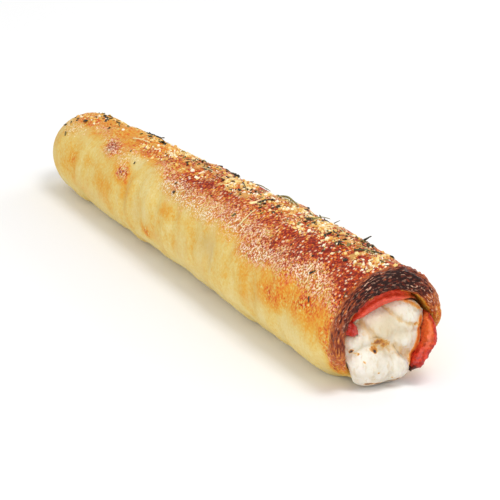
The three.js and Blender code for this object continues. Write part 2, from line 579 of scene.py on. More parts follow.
def cheese_material():
    """White melted cheese with toasted spots and runs of orange grease; its creases are yellowish and
    partly darkened with painted shade, and painted shade greys its upper face.
    """
    material, tree, shader, place = new_material("melted_mozzarella")
    toast, hollow, oil, painted_shade = (field(tree, name) for name in ("toast", "hollow", "oil", "painted_shade"))
    soft = grain(place, 5, 2)
    fine = grain(place, 0.8, 2)
    pull = grain(place, 1.1, 2, stretch=(1.0, 0.75, -0.3))
    body = colours(soft, [(0.3, "e9e5da"), (0.5, "e0d9ca"), (0.7, "cfc5af")])
    # Painted shade greys the upper face.
    body = mixed(painted_shade, body, "ccb88e")
    body = mixed(ramp(pull, 0.52, 0.7, 0.0, 0.4), body, "c6ae80")
    # Creases are yellowish, and darker partly as painted shade of their walls.
    crease = hollow + centred(pull, 1.6)
    body = mixed(ramp(crease, 0.35, 1.25, 0.0, 0.8), body, "d2ae72")
    stain = oil + centred(fine, 0.6)
    stained = colours(stain, [(0.2, "f2d6a0"), (0.5, "eba850"), (0.8, "dd6f2c")])
    body = mixed(ramp(stain, 0.12, 0.4), body, stained)
    scorch = toast + centred(fine, 0.6)
    browned = colours(scorch, [(0.3, "e2b866"), (0.5, "c07c2e"), (0.72, "74401a"), (0.95, "24100a")])
    body = mixed(ramp(scorch, 0.2, 0.42), body, browned)
    looks = {
        "Base Color": body,
        "Roughness": ramp(fine, 0.3, 0.7, 0.32, 0.46),
        "Subsurface Weight": 0.25,
        "Subsurface Radius": (0.003, 0.002, 0.0012),
        "Coat Weight": 0.1,
    }
    fill(shader, looks)
    bump(shader, fine * 0.5 + soft + pull * 0.7, 0.4)
    return material


def pepperoni_material(name, dark, bright, fat):
    """Cured meat flecked with fat, greasy and burnt as far as its attributes say."""
    material, tree, shader, place = new_material(name)
    meat = grain(place, 1.6, 3)
    fine = grain(place, 0.5, 2)
    body = mixed(ramp(meat, 0.35, 0.65), dark, bright)
    body = mixed(ramp(fine, 0.55, 0.7) * 0.45, body, fat)
    body = mixed(field(tree, "grease"), body, "ee7a38")
    body = mixed(field(tree, "burn"), body, "1c0a08")
    looks = {
        "Base Color": body,
        "Roughness": ramp(fine, 0.3, 0.7, 0.34, 0.52),
        "Subsurface Weight": 0.1,
        "Subsurface Radius": (0.003, 0.001, 0.0005),
        "Coat Weight": 0.15,
        "Coat Roughness": 0.2,
    }
    fill(shader, looks)
    bump(shader, meat + fine * 0.5, 0.5)
    return material


def crumb_material(name, roughness, stops):
    """A dry topping whose pieces differ by their own tint."""
    material, tree, shader, place = new_material(name)
    fine = grain(place, 0.5, 2)
    looks = {
        "Base Color": colours(field(tree, "tint") + centred(fine, 0.4), stops),
        "Roughness": ramp(fine, 0.3, 0.7, roughness - 0.08, roughness + 0.1),
    }
    fill(shader, looks)
    bump(shader, fine, 0.12)
    return material


# ---------------------------------------------------------------- the dough

# Points round a ring, and rings along each stretch of the dough, from its closed end to its rim and
# back through the bore.
AROUND = 236
CAP_RINGS, SIDE_RINGS, NEAR_RINGS, RIM_RINGS = 30, 226, 82, 26
THROAT_RINGS, BORE_RINGS, TAIL_RINGS = 20, 14, 8

angles = np.arange(AROUND) * 360 / AROUND
turns = np.radians(angles)
cap = bow((0, CAP), (RADIUS, CAP), -90, 0, CAP_RINGS)[1:]
rim = bow(((RADIUS + BORE) / 2, LENGTH - LIP), (WALL / 2, LIP), 0, 180, RIM_RINGS)
tail = bow((0, CAVITY + BORE), (BORE, BORE), 0, -90, TAIL_RINGS)[:-1]
long_side = run(cap[-1], (RADIUS, FINE_FROM), SIDE_RINGS)
near_rim = run((RADIUS, FINE_FROM), rim[0], NEAR_RINGS)
skin = np.concatenate([long_side, [(RADIUS, FINE_FROM)], near_rim])
throat = run(rim[-1], (BORE, THROAT), THROAT_RINGS)
bore = run((BORE, THROAT), tail[0], BORE_RINGS)
profile = np.concatenate([cap, skin, rim, throat, [(BORE, THROAT)], bore, tail])
arc = np.concatenate([[0], np.cumsum(np.linalg.norm(np.diff(profile, axis=0), axis=1))])
rim_start = len(cap) + len(skin)
rim_middle = rim_start + len(rim) // 2
is_outside = np.arange(len(profile)) < rim_start + len(rim)

ring_radius, ring_x = profile[:, :1], profile[:, 1:]
base = settle(ring_x + 0 * turns, ring_radius * np.cos(turns), ring_radius * np.sin(turns), True)
crust_low = Vector(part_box("crust")[0])
ahead_by, aside_by = (crust_low[i] / MM - base[..., i].min() for i in (0, 1))
SHIFT = np.array([ahead_by, aside_by, 0.0])

flat_angle = np.broadcast_to(angles, base.shape[:2])
flat_x = np.broadcast_to(ring_x, base.shape[:2])
from_front = np.broadcast_to((arc - arc[rim_middle])[:, None], base.shape[:2])  # mm along the skin
outer_skin = np.broadcast_to(is_outside[:, None], base.shape[:2]).astype(float)
# A place that follows the skin: mm from the front, and round the roll without a seam.
round_roll = [np.broadcast_to(RADIUS * part(turns), base.shape[:2]) for part in (np.cos, np.sin)]
wrap = np.stack([from_front, *round_roll], -1)

# How far the browning reaches down each side of the ridge, in degrees, at places along the roll.
REACH_X = [0, 22, 36, 48, 63, 75, 90, 110, 128, 170, 193, 218, 245, 258, 270]
REACH = [12, 27, 24, 20, 34, 30, 34, 46, 60, 58, 66, 60, 58, 62, 74]
# Patches that are done more (+) or less (-): x, angle, reach along and round, amount.
PATCHES = [
    (22, 122, 8, 11, 0.1),
    (56, 118, 8, 8, 0.05),
    (40, 114, 8, 13, 0.2),
    (80, 100, 7, 8, 0.18),
    (62, 127, 7.5, 9.5, 0.48),
    (80, 146, 5.2, 9, 0.36),
    (79, 134, 4.5, 9, 0.12),
    (86, 160, 3, 12, 0.14),
    (98, 104, 7, 7, 0.18),
    (113, 109, 7, 8, -0.3),
    (133, 113, 8, 8, 0.24),
    (140, 104, 8, 8, 0.12),
    (155, 109, 7, 8, 0.04),
    (172, 111, 7, 8, -0.12),
    (190, 105, 8, 8, -0.04),
    (197, 121, 6, 9, -0.14),
    (221, 109, 7, 8, 0.42),
    (207, 109, 6, 7, 0.3),
    (228, 114, 9, 9, 0.34),
    (246, 104, 10, 10, 0.44),
    (262, 120, 6, 26, 0.22),
    (206, 133, 6, 6, 0.22),
    (226, 129, 7, 6, 0.3),
    (243, 132, 10, 10, -0.1),
    (267, 220, 5, 14, 0.25),
    (257, 127, 6, 14, 0.08),
    (180, 124, 9, 7, -0.14),
    (120, 132, 8, 7, -0.06),
    (141, 118, 6, 6, -0.12),
    (90, 124, 8, 10, -0.12),
    (150, 58, 14, 9, 0.22),
    (100, 55, 12, 9, 0.2),
    (215, 52, 16, 10, 0.26),
    (60, 48, 8, 8, 0.25),
    # Golden spots on the pale sides.
    (12, 150, 9, 18, 0.1),
    (30, 190, 12, 16, 0.06),
    (70, 172, 12, 14, 0.08),
    (36, 162, 6, 13, 0.16),
    (48, 156, 6, 10, 0.1),
    (130, 158, 10, 9, 0.12),
    (108, 198, 5, 10, 0.26),
    (93, 203, 4, 7, 0.1),
    (221, 172, 8, 13, 0.16),
    (195, 164, 9, 9, 0.06),
    (197, 150, 8, 6, 0.12),
    (246, 160, 9, 15, 0.16),
    (262, 178, 5, 18, 0.16),
    (268, 205, 5, 16, 0.34),
    (264, 24, 10, 26, 0.36),
    (228, 164, 38, 24, 0.15),
    (242, 146, 24, 12, 0.02),
    (213, 190, 7, 10, -0.08),
    (231, 190, 8, 11, -0.1),
    (166, 168, 7, 10, -0.1),
    (120, 350, 16, 14, 0.14),
    (190, 10, 20, 12, 0.12),
    (60, 20, 14, 14, 0.12),
    (240, 350, 14, 16, 0.16),
]
# Patches where the pale grains lie thick, partly painted highlights of glossy blisters: x, angle, reach
# along and round, amount.
FROSTED = [
    (125, 132, 13, 10, 1.0),
    (150, 140, 14, 8, 0.85),
    (180, 128, 10, 9, 0.7),
    (197, 149, 9, 7, 1.0),
    (206, 143, 7, 6, 0.8),
    (221, 131, 10, 9, 0.8),
    (240, 133, 12, 12, 0.7),
    (80, 118, 6, 8, 0.5),
    (80, 145, 4, 7, 0.45),
    (75.5, 131, 3.5, 9, 0.7),
    (62, 128, 7.5, 9, 1.0),
    (23, 128, 9, 11, 0.7),
    (12, 110, 6, 14, 0.5),
    (40, 108, 8, 8, 0.4),
    (103, 118, 9, 8, 0.4),
    (195, 126, 6, 6, 0.6),
    (54, 117, 6, 7, 0.6),
    (150, 50, 40, 9, 0.6),
    (230, 46, 20, 9, 0.6),
]
# The burnt rim at angles round the mouth: how far back it reaches, in mm, and how burnt it is.
RIM_ANGLE = [0, 20, 35, 50, 67, 85, 105, 125, 147, 165, 185, 200, 215, 235, 300, 330, 360]
RIM_REACH = [5, 4, 3.4, 3.2, 3.8, 4.2, 4.2, 3.8, 3.6, 3.6, 4, 4.2, 4, 4, 4, 5.5, 5]
RIM_CHAR = [0.24, 0.3, 0.45, 0.72, 0.95, 1, 0.98, 0.84, 0.68, 0.58, 0.5, 0.34, 0.2, 0.1, 0.1, 0.2, 0.24]
# Dents in the near side, also darkened with painted shade: x, angle, reach along and round, depth in
# mm.
DENTS = [
    (161, 166, 9, 12, 1.7),
    (167, 178, 2.6, 14, 1.0),
    (87, 170, 2.6, 18, 0.9),
    (100, 183, 5, 20, 0.8),
    (205, 186, 4, 18, 0.7),
    (231, 190, 6, 16, 0.6),
]
# Places that stand out (+) or lie low (-): x, angle, reach along and round, height in mm.
RISES = [
    (62.5, 128, 4.5, 8, 0.8),
    (81, 146, 3.5, 6, 0.5),
    (27, 58, 10, 20, -0.9),
    (50, 64, 7, 20, 0.5),
]
# Lumps along the foot of the near side, which end steeply: x of that end, height in mm.
FOOT_LUMPS = [(36, 0.4), (76, 0.55), (91, 0.6), (146, 0.35), (190, 0.4)]
# The film of melted hard cheese: how thick it is along the roll, and a patch of it at the rim.
FILM_X = [0, 60, 110, 150, 262, 270]
FILM_SHARE = [0.6, 0.5, 0.8, 0.9, 0.9, 0.2]
FILM_PATCH = [(260, 96, 2.6, 7, 1)]
# How far the browning reaches down the far side near the closed end.
FAR_REACH_X, FAR_REACH = [5, 30], [14, 52]
# How strong the browning is along the roll, and on dough that is hardly baked.
BAKED_X = [1, 11, 60, 90, 122]
BAKED = [0, 0.48, 0.46, 0.6, 1]
HARDLY_BAKED = 0.12


def patchwork(patches, points, seed):
    """The sum of soft, uneven patches on the skin."""
    return (0.65 + 0.7 * noise(points, 4, seed)) * dabs(patches, flat_x, flat_angle)


def browning(points, x, angle):
    """How brown the dough is baked, from 0 to 1, and how far up the browned zone a place is."""
    ridge = RIDGE + 3 * np.sin(x / 31)
    ragged = 18 * wobble(points, 13, 11) + 12 * wobble(points, 5, 12)
    off = away(angle, ridge)
    reach = np.interp(x, REACH_X, REACH)
    far_reach = np.maximum(reach, np.interp(x, FAR_REACH_X, FAR_REACH))
    reach = np.where(angle < ridge, far_reach, reach)
    top = 1 - smooth(0.4, 1.15, off / (reach + ragged))
    strength = np.interp(x, BAKED_X, BAKED)
    value = HARDLY_BAKED + strength * top * (0.34 + 0.24 * noise(points, 11, 13))
    value += 0.06 * hump(off, 21, 12) * smooth(85, 125, x)
    value += patchwork(PATCHES, points, 14)
    # The underside is paler: partly less baked, partly painted light that lifts its shade.
    value -= 0.08 * between(angle, 190, 216, 250, 290)
    return np.clip(value, 0, 1), top


def burnt_rim(angle):
    """How burnt the rim is, how far in its band a place lies, and the warm tint behind it."""
    reach = np.interp(angle, RIM_ANGLE, RIM_REACH) + 2.2 * wobble(wrap / [1, 3, 3], 2.4, 9)
    level = np.interp(angle, RIM_ANGLE, RIM_CHAR)
    band = smooth(-reach - 4, -reach + 2.6, from_front)
    warm = 0.3 * level * smooth(-reach - 8, -reach, from_front) * outer_skin
    return level, band, warm


def rim_sparkle(angle, band, outside):
    """Where painted highlights lie as pale strokes on the burnt rim, and behind it near its top."""
    sparkle = band * outside * (0.9 * near(angle, 55, 75, 35) + 0.6 * near(angle, 155, 70, 35))
    sparkle *= 0.3 + 0.7 * smooth(0.4, 0.6, noise(wrap / [1, 2, 2], 3.4, 15))
    return sparkle + smooth(-13, -6, from_front) * (1 - band) * near(angle, 48, 45, 20)


def skin_relief(points, x, angle):
    """How uneven the baked dough is, outwards in millimetres."""
    relief = wobble(points * [1, 0.7, 0.7], 15, 1) + 0.6 * wobble(points, 6, 2)
    relief += 0.34 * wobble(points * [1, 0.35, 0.35], 3, 3)
    relief += dabs(RISES, x, angle) - dabs(DENTS, x, angle)
    for at, height in FOOT_LUMPS:
        relief += height * between(x, at - 9, at, at, at + 3) * hump(away(angle, FOOT), 0, 16)
    return relief


def cheese_film(points, x, angle):
    """A film of melted hard cheese along the ridge."""
    ridge = near(angle, 88 + 6 * np.sin(x / 19), 22, 8)
    film = ridge * smooth(8, 22, x) * (1 - smooth(-11, -6, from_front))
    return film * smooth(0.4, 0.7, noise(points, 3, 21)) * np.interp(x, FILM_X, FILM_SHARE)


def frosting(points, x, brown, top):
    """Pale grains over the browned skin, partly painted highlights of glossy blisters, thickest along
    its lower edge.
    """
    frost = smooth(0, 0.5, top) * (0.6 - 0.5 * smooth(0.6, 1, top)) * (0.3 + noise(points, 7, 23))
    frost = frost * smooth(90, 135, x) + patchwork(FROSTED, points, 24)
    frost *= 1 - 0.8 * smooth(0.5, 0.7, brown) * smooth(80, 100, x)
    return np.clip(frost, 0, 1)


def crust_mesh():
    """The baked dough, with the values that its tree and material read, and its rings of points."""
    x, angle = flat_x, flat_angle
    outside = 1 - smooth(1.6, 4.6, from_front)
    skin_like = outer_skin * (1 - smooth(-6, -3, from_front))
    brown, top = browning(base, x, angle)
    level, band, warm = burnt_rim(angle)
    # The dough inside the mouth is golden; its paleness is partly painted light that lifts the shade
    # there.
    inner_brown = 0.2 + 0.26 * noise(wrap / [1, 3, 3], 1.5, 10)
    brown = np.clip(brown + warm, 0, 1) * outside + inner_brown * (1 - outside)
    frost = frosting(base, x, brown, top) * skin_like
    film = np.maximum(cheese_film(base, x, angle) * skin_like, dabs(FILM_PATCH, x, angle))

    relief = skin_relief(base, x, angle) * (skin_like * 0.85 + 0.15 * outer_skin)
    # The dough's end lifts off what the roll lies on, and is drawn in beside the thick slice.
    tucked = between(from_front, -20, -3, -1, 4)
    relief -= tucked * (2.6 * near(angle, LIFTED, 62, 22) + 1.3 * near(angle, BESIDE_SLICE, 52))
    # Wrinkles that run round the rim.
    at_rim = between(from_front, -10, -5, 4, 9) * np.clip(level + 0.2, 0, 1)
    wrinkle = wobble(wrap / [1, 4, 4], 1.1, 6) + 0.6 * wobble(wrap / [1, 3, 3], 0.6, 7)
    relief += 0.9 * at_rim * wrinkle + film * (0.2 + 0.5 * noise(base, 1.7, 22))

    settled = base + grid_normals(base) * relief[..., None]
    settled[..., 0] -= 5 * between(from_front, -24, -3, 3, 16) * near(angle, 328, 44)
    settled[..., 2] = np.where(outer_skin > 0, np.maximum(settled[..., 2], 0), settled[..., 2])
    fields = {
        "browning": brown,
        "char": level * band * outside,
        "melt": film,
        "frost": frost,
        "sparkle": rim_sparkle(angle, band, outside),
        # painted shade in the dents
        "painted_dent_shade": np.clip(0.22 * dabs(DENTS, x, angle), 0, 0.4),
        "grainy": (0.15 + brown) * skin_like + at_rim * outer_skin,
        "blistered": 0.5 * smooth(0.35, 0.6, brown) * skin_like + at_rim * outer_skin,
    }
    start = [settled[0, :, 0].min() - 0.05, settled[0, :, 1].mean(), settled[0, :, 2].mean()]
    end = settled[-1].mean(0) + [-0.6, 0, 0]
    mesh = mesh_of_rings("crust_baked", settled, start, end, fields)
    places = np.concatenate([wrap.reshape(-1, 3), [wrap[0].mean(0), wrap[-1].mean(0)]])
    follow = mesh.attributes.new("wrap", "FLOAT_VECTOR", "POINT")
    follow.data.foreach_set("vector", places.astype(np.float32).ravel())
    return mesh, settled


def skin_tree():
    """Raises a fine grain and blisters on the dough, as far as its attributes say."""
    sizes = ("Grain Size", "Grain Rise", "Blister Size", "Blister Rise", "Seed")
    tree, given, known_as = new_tree("blistered_skin", sizes)
    here = out(tree, "GeometryNodeInputPosition")
    outward = out(tree, "GeometryNodeInputNormal")
    grain_scale = calc("DIVIDE", 1 / MM, given["Grain Size"])
    wave = seeded_noise(here, given["Seed"], grain_scale, 1.0)
    grain_rise = centred(wave, 1.0) * given["Grain Rise"] * held(tree, "grainy")
    cells = {"Vector": here, "W": given["Seed"], "Scale": calc("DIVIDE", 1 / MM, given["Blister Size"])}
    spots = out(tree, "ShaderNodeTexVoronoi", cells, "Distance", voronoi_dimensions="4D")
    dome = ramp(spots, 0.12, 0.5, 1.0, 0.0)
    blister_rise = dome * given["Blister Rise"] * held(tree, "blistered")
    raised = moved(given["Geometry"], Offset=scaled(outward, (grain_rise + blister_rise) * MM))
    close_tree(raised, given["Material"])
    return tree, known_as


crust_start, crust_grid = crust_mesh()
crust_sizes = {
    "Grain Size": 1.6,
    "Grain Rise": 0.5,
    "Blister Size": 2.4,
    "Blister Rise": 0.5,
    "Seed": 4.2,
    "Material": crust_material(),
}
crust_data = grown("crust_baked", *skin_tree(), crust_sizes, crust_start)
crust_points = points_of(crust_data)
crust_points[:, 2] = np.maximum(crust_points[:, 2], 0)
set_points(crust_data, crust_points)
soften(crust_data)
crust = object_of("crust_baked", crust_data)

# ---------------------------------------------------------------- the slices of pepperoni

# Angles from and to, thickness at the first edge, the middle and the last edge, and the front.
SLICE_INPUTS = ("From", "To", "First Thickness", "Middle Thickness", "Last Thickness", "Front")
SLICES = {
    "pepperoni_top": (47.0, 152.0, 1.6, 5.2, 3.9, LENGTH - 1.8),
    "pepperoni_left": (151.0, 173.0, 2.6, 5.0, 5.6, LENGTH - 2.2),
    "pepperoni_right": (-62.0, 26.0, 3.4, 4.2, 1.6, LENGTH + 1.8),
}
SLICE_BACK = CAVITY + 0.8 * BORE
SLICE_SEED = 1.3
SLICE_POINTS = {"Vertices X": 110, "Vertices Y": 44, "Vertices Z": 8}


def slice_tree():
    """Bends a box of vertices into a strip that lines the roll, with a ragged front edge."""
    sizes = (*SLICE_INPUTS, "Radius", "Back", "Raggedness", "Seed")
    tree, given, known_as = new_tree("cured_slice", sizes)
    first, middle, last = (given[part + " Thickness"] for part in ("First", "Middle", "Last"))
    box = out(tree, "GeometryNodeMeshCube", {"Size": (1.0, 1.0, 1.0), **SLICE_POINTS})
    place_in_box = add(tree, "ShaderNodeSeparateXYZ", {0: out(tree, "GeometryNodeInputPosition")})
    back_to_front, across, depth = (Value(tree, socket) + 0.5 for socket in place_in_box.outputs)
    from_middle = Value(tree, place_in_box.outputs["Y"])
    # Its points are close together at the front, where the slice shows.
    eased = 1.0 - calc("POWER", 1.0 - back_to_front, 2.6)
    turn = calc("RADIANS", given["From"] + across * (given["To"] - given["From"]))
    swell = (middle - (first + last) * 0.5) * calc("SINE", across * math.pi)
    thick = first + across * (last - first) + swell
    # Noise that is drawn out along the slice.
    spot = joined(eased * 40.0, turn * 17.0, depth)
    wave = seeded_noise(spot, given["Seed"], 0.22, 2.0)
    nibble = seeded_noise(spot, given["Seed"], 0.9, 2.0)
    # The inner face is uneven, and both faces draw in towards the edges.
    side_edge = ramp(calc("ABSOLUTE", from_middle), 0.43, 0.5)
    front_edge = ramp(eased - 1.0, -0.006, 0.0)
    pinch = calc("MAXIMUM", side_edge, front_edge) * 0.3
    inward = 1.0 - (depth * (1.0 - pinch * 2.0) + pinch)
    rough_face = (nibble - 0.5) * ((1.0 - depth) * 2.2)
    radius = given["Radius"] - thick * inward + rough_face + centred(wave, 0.9)
    torn = (wave + nibble * 0.5 - 0.75) * given["Raggedness"]
    at_front = ramp(eased, 0.85, 1.0)
    along = given["Back"] + eased * (given["Front"] - given["Back"]) + torn * at_front
    # Its corners and cut edges are rounded.
    corner = calc("POWER", ramp(calc("ABSOLUTE", from_middle), 0.22, 0.5), 2.0)
    nose = calc("POWER", calc("ABSOLUTE", depth * 2.0 - 1.0), 2.0)
    along = along - corner * (at_front * 3.4) - nose * (at_front * 1.3)
    turn -= calc("SIGN", from_middle) * (nose * side_edge) * math.radians(3.0)
    place = joined(along, radius * calc("COSINE", turn), radius * calc("SINE", turn))
    # How deep in the slice a point is, and how far across it, for its grease and burnt edge.
    strip = stored(stored(box, "depth", depth), "across", across)
    close_tree(moved(strip, Position=place), given["Material"])
    return tree, known_as


def slice_stains(node, points, depth, across):
    """How greasy and how burnt each point of a slice is."""
    plain = np.zeros(len(depth))
    if node == "pepperoni_right":
        ragged = 0.3 * wobble(points, 1.5, 31)
        greasy = (1 - smooth(0.0, 0.2, depth + ragged)) * smooth(0.3, 0.8, across + ragged)
        burn = 0.95 * (1 - smooth(0.02, 0.12, across + 0.1 * wobble(points, 1.2, 32)))
        return 0.8 * greasy, burn
    if node == "pepperoni_top":
        greasy = 0.8 * (1 - smooth(0.1, 0.3, across))
        burn = 0.4 * (1 - smooth(0.02, 0.16, across + 0.1 * wobble(points, 1.2, 33)))
        return 0.8 * greasy, burn
    return plain, plain


slice_maker = slice_tree()
slice_materials = {
    "pepperoni_top": pepperoni_material("pepperoni_slice", "cf371e", "e24c30", "ee7450"),
    # The left slice's meat is darker: painted shade.
    "pepperoni_left": pepperoni_material("pepperoni_painted_shade", "b2281e", "ca362a", "d85c44"),
    "pepperoni_right": pepperoni_material("pepperoni_thick", "a0140a", "d2341a", "e2662e"),
}
slices = []
for seed, (node, spec) in enumerate(SLICES.items()):
    sizes = dict(zip(SLICE_INPUTS, spec))
    sizes.update({"Radius": FILLING, "Back": SLICE_BACK, "Raggedness": 4.2})
    sizes.update({"Seed": 3.0 * seed + SLICE_SEED, "Material": slice_materials[node]})
    mesh = grown(node + "_cured", *slice_maker, sizes)
    straight = points_of(mesh)
    set_points(mesh, moved_to_frame(settle(*straight.T, False)))
    greasy, burn = slice_stains(node, straight, values_of(mesh, "depth"), values_of(mesh, "across"))
    set_field(mesh, "grease", greasy)
    set_field(mesh, "burn", burn)
    soften(mesh)
    slices.append((node, object_of(node + "_cured", mesh)))

# ---------------------------------------------------------------- the melted cheese

HEART = np.array([250.0, 0.7, 17.0])  # a point in the cheese that every part of its face can see
# Lobes that have pushed out of the mouth: centre and half sizes.
LOBES = [
    ((257.0, -4.2, 9.6), (13.2, 11.6, 9.8)),
    ((257.5, 3.4, 9.4), (12.0, 9.0, 9.4)),
    ((255.0, -2.6, 21.0), (13.4, 11.4, 9.6)),
    ((256.0, 7.0, 24.4), (13.0, 10.4, 9.6)),
    ((256.5, 7.0, 16.6), (12.0, 9.4, 9.4)),
]
# Places on the face that swell or sink: (y, z), reach each way, height.
SWELLS = [
    ((-12.4, 17.8), (3.8, 3.2), 2.4),
    ((-9.6, 23.6), (2.4, 3.4), -0.5),
    ((-4.0, 17.0), (2.6, 2.0), -0.7),
    ((5.5, 12.4), (3.5, 1.8), -0.6),
    ((-9.5, 8.5), (3.5, 2.5), 0.7),
    ((4.5, 7.0), (3.0, 2.5), 0.5),
]
# Creases in the face, as lines in (y, z), with their depth and width.
CREASES = [
    ([(-10.4, 26.0), (-6.8, 20.6), (-2.4, 17.0), (3.8, 14.4), (8.1, 11.6)], 1.1, 1.5),
    ([(-1.6, 31.1), (3.0, 26.0), (6.5, 23.6), (10.0, 22.6)], 0.7, 0.7),
]
# Toasted spots on the face: (y, z), reach each way and strength.
TOASTED = [
    ((-3.2, 17.4), (3.4, 1.7), 0.6),
    ((-0.8, 16.2), (2.6, 1.3), 0.54),
    ((-5.4, 15.6), (2.0, 1.4), 0.56),
    ((-5.4, 14.9), (0.75, 0.7), 1.15),
    ((-13.4, 15.5), (0.7, 0.9), 1.1),
    ((-11.4, 14.4), (1.3, 0.8), 0.44),
    ((-9.6, 11.8), (0.7, 0.7), 0.46),
    ((-5.0, 7.6), (0.6, 0.7), 0.42),
    ((-5.4, 5.0), (0.5, 0.5), 0.4),
    ((1.5, 4.3), (0.6, 0.4), 0.5),
    ((10.2, 22.8), (1.3, 0.9), 0.5),
    ((11.8, 22.2), (0.9, 0.8), 0.52),
    ((-6.7, 2.6), (1.8, 0.8), 0.75),
    ((-3.4, 2.4), (1.8, 0.5), 0.85),
    ((2.4, 2.0), (1.8, 0.6), 0.95),
    ((4.6, 2.8), (0.9, 0.7), 0.9),
    ((7.6, 9.6), (1.4, 1.4), 0.36),
]
# Where grease has run into the cheese, as lines in (y, z), with their reach and strength.
OILED = [
    ([(12.6, 24.0), (12.2, 17.6), (10.4, 12.0), (8.6, 8.2)], 1.3, 0.8),
    ([(-10.6, 27.6), (-6.6, 28.6), (-2.2, 29.4), (0.6, 30.4)], 0.5, 0.36),
    ([(6.0, 31.6), (9.5, 29.8), (13.0, 27.2)], 0.8, 0.5),
]

# The straight plug that the lobes grow out of: points round a ring, rings along each stretch, its
# two ends and how rounded its face is.
CHEESE_AROUND = 260
PLUG_RINGS = {"tail": 7, "back": 18, "throat": 50, "face": 90}
PLUG_BACK = CAVITY + BORE - FILLING
PLUG_FRONT = LENGTH - 3.5
PLUG_ROUNDING = 6
# Stretches over which the cheese comes to push out, to be toasted and to spill over the lip.
PUSHED_OVER = (LENGTH - 22, LENGTH - 12)
TOASTED_OVER = (LENGTH - 16, LENGTH - 9)
SPILT_OVER = (LENGTH - 11, LENGTH - 6)


def far_side(centre, half, direction):
    """How far from HEART a ray leaves an ellipsoid that holds HEART."""
    half = np.array(half)
    start = (HEART - np.array(centre)) / half
    step = direction / half
    a = (step**2).sum(-1)
    b = (start * step).sum(-1)
    c = (start**2).sum() - 1
    return (-b + np.sqrt(np.maximum(b**2 - a * c, 0))) / a


def line_distance(y, z, line):
    """How far points are from a bent line in the (y, z) plane."""
    point = np.stack([y, z], -1)
    best = np.full(y.shape, np.inf)
    for start, end in zip(np.array(line[:-1]), np.array(line[1:])):
        step = end - start
        share = np.clip(((point - start) @ step) / (step @ step), 0, 1)
        best = np.minimum(best, np.linalg.norm(point - start - share[..., None] * step, axis=-1))
    return best


def room_for_slices(angle):
    """How much of the bore the slices take up at each angle."""
    room = 1.5 * near(angle, 40, 18, 8)
    for begin, stop, first, most, last, _ in SLICES.values():
        share = np.clip(((angle - begin) % 360) / (stop - begin), 0, 1)
        thick = first + (last - first) * share + (most - (first + last) / 2) * np.sin(np.pi * share)
        half = (stop - begin) / 2
        covered = near(angle, (begin + stop) / 2, half + 2, half - 1)
        room = np.maximum(room, (thick + 0.1) * covered)
    return room


def pushed_out(grid, ahead):
    """The lobes, each a part of one body that every ray from HEART leaves once."""
    ray = grid - HEART
    reach = np.linalg.norm(ray, axis=-1)
    direction = ray / reach[..., None]
    longer = reach.copy()
    for centre, half in LOBES:
        lobe = far_side(centre, half, direction)
        longer = (longer + lobe + np.sqrt((longer - lobe) ** 2 + 0.5)) / 2
    return HEART + direction * (reach + (longer - reach) * ahead)[..., None]


def keep_in_bore(grid, limit, ahead):
    """Inside the dough the cheese stays in the bore, and it only slumps out over the low lip."""
    bore_y, bore_z = SLUMP_SIDE, RADIUS * UNDERSIDE - FLAT - SLUMP_DOWN
    angle = (np.arange(CHEESE_AROUND) * 360 / CHEESE_AROUND)[None]
    y, z = grid[..., 1] - bore_y, grid[..., 2] - bore_z
    spread = np.hypot(y, z / np.where(z < 0, UNDERSIDE, 1.0))
    over_lip = smooth(*SPILT_OVER, grid[..., 0])
    allowed = limit + 4.4 * near(angle, SPILL, 42, 14) * over_lip
    squeeze = np.where(spread > allowed, allowed / np.maximum(spread, 1e-6), 1)
    squeeze = 1 + (squeeze - 1) * ahead
    grid[..., 1] = bore_y + y * squeeze
    grid[..., 2] = bore_z + z * squeeze


def spots(marks, y, z):
    """Soft spots in the (y, z) plane, from the place, reach each way and height of each."""
    return [
        high * hump(y, spot_y, wide) * hump(z, spot_z, tall)
        for (spot_y, spot_z), (wide, tall), high in marks
    ]


def cheese_plug():
    """Rings of points of the straight plug, and how far from the bore's axis each may reach."""
    face_from = PLUG_FRONT - PLUG_ROUNDING
    tail = bow((0, PLUG_BACK + FILLING), (FILLING, FILLING), -90, 0, PLUG_RINGS["tail"])[1:]
    face = bow((0, face_from), (FILLING, PLUG_ROUNDING), 0, 90, PLUG_RINGS["face"])[:-1]
    back = run(tail[-1], (FILLING, FINE_FROM), PLUG_RINGS["back"])
    throat = run((FILLING, FINE_FROM), face[0], PLUG_RINGS["throat"])
    plug = np.concatenate([tail, back, [(FILLING, FINE_FROM)], throat, face])
    angle = np.arange(CHEESE_AROUND) * 360 / CHEESE_AROUND
    turn = np.radians(angle)
    radius, x = plug[:, :1], plug[:, 1:]
    # Beside a slice the cheese keeps to its inner face.
    limit = FILLING - room_for_slices(angle)
    narrowed = np.minimum(radius, radius * limit / FILLING)
    grid = settle(x + 0 * turn, narrowed * np.cos(turn), narrowed * np.sin(turn), False)
    return grid, limit


def face_relief(points):
    """How uneven the face is, outwards in millimetres, and how deep in a crease each point is."""
    y, z = points[..., 1], points[..., 2]
    bent_by = 1.2 * wobble(points, 2.2, 41)
    gaps = [line_distance(y + bent_by, z - bent_by, line) for line, _, _ in CREASES]
    creases = [(gap, deep, wide) for gap, (_, deep, wide) in zip(gaps, CREASES)]
    dent = np.max([deep * hump(gap, 0, wide) for gap, deep, wide in creases], 0)
    hollow = np.max([hump(gap, 0, 1.5 * wide) for gap, _, wide in creases], 0)
    relief = 0.8 * wobble(points, 6, 42) + 0.4 * wobble(points, 2.6, 43)
    relief += 0.16 * wobble(points, 1.1, 44)
    for swell in spots(SWELLS, y, z):
        relief += swell
    return relief - dent, hollow


